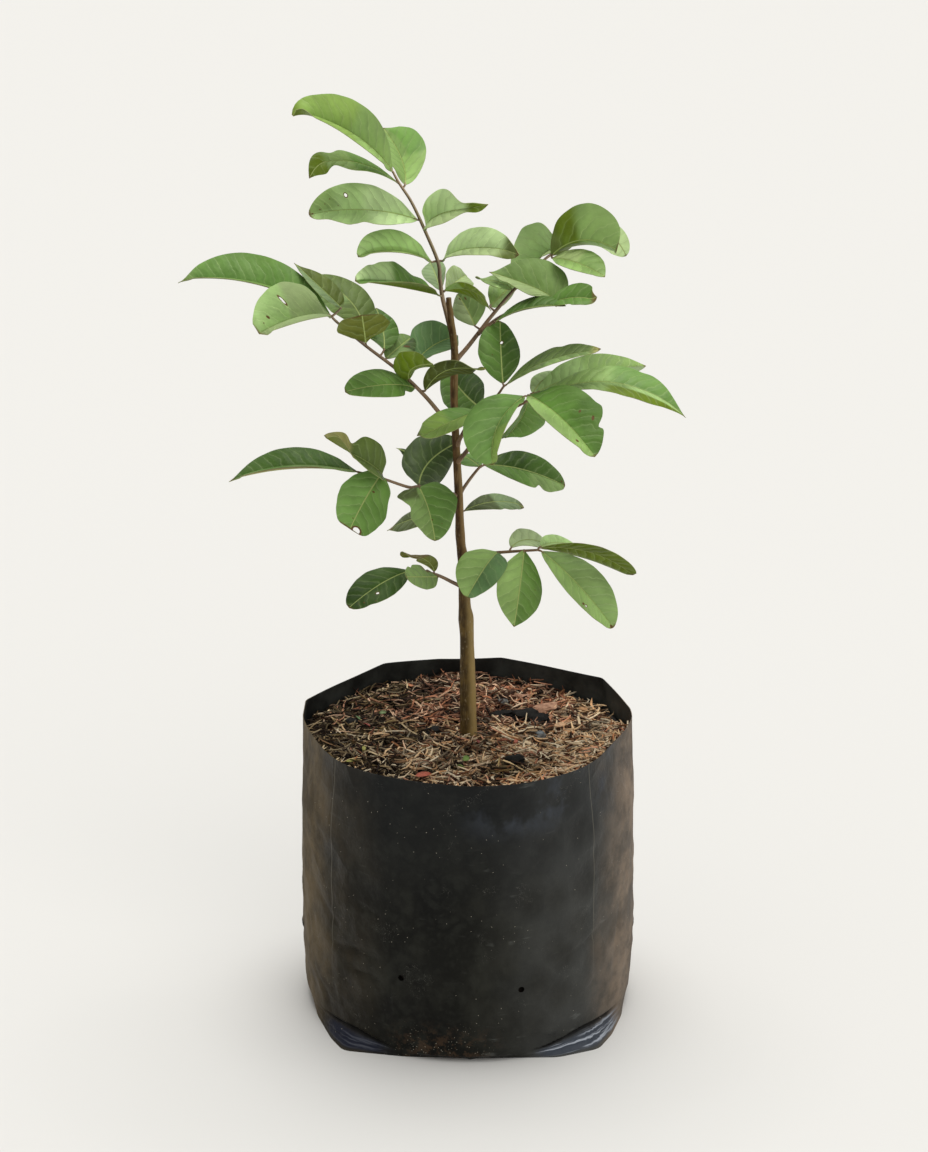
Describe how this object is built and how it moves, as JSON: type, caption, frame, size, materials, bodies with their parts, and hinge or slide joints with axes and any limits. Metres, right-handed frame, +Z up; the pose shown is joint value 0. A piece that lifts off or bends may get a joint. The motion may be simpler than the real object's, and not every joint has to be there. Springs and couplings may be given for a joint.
{
  "type": "potted rambutan sapling",
  "caption": "Young rambutan tree with a woody stem and pairs of oval leaflets on brown stalks, standing in a filled black film grow bag under wood-chip mulch.",
  "frame": {"origin": "centre of the bag's flat base, on the surface it stands on", "axes": "+Z up along the stem, -Y towards the viewer of the plant's best side, +X to that viewer's right"},
  "size_m": [0.4927, 0.338, 0.9657],
  "materials": {
    "leaf": "satin leaf skin, glossier above than below, with raised pale veins",
    "bark": "rough young bark with pale flecks",
    "soil": "matte shredded wood chips over dark potting mix",
    "film": "satin black polythene film, softly creased"
  },
  "bodies": {
    "root": {"stem": "bark", "frond_top": "leaf", "frond_upper_left": "leaf", "frond_upper_right": "leaf", "frond_centre": "leaf", "frond_right": "leaf", "frond_small_right": "leaf", "frond_left": "leaf", "frond_back": "leaf", "frond_low_right": "leaf", "frond_low_left": "leaf", "grow_bag": "film", "soil": "soil"}
  },
  "joints": []
}
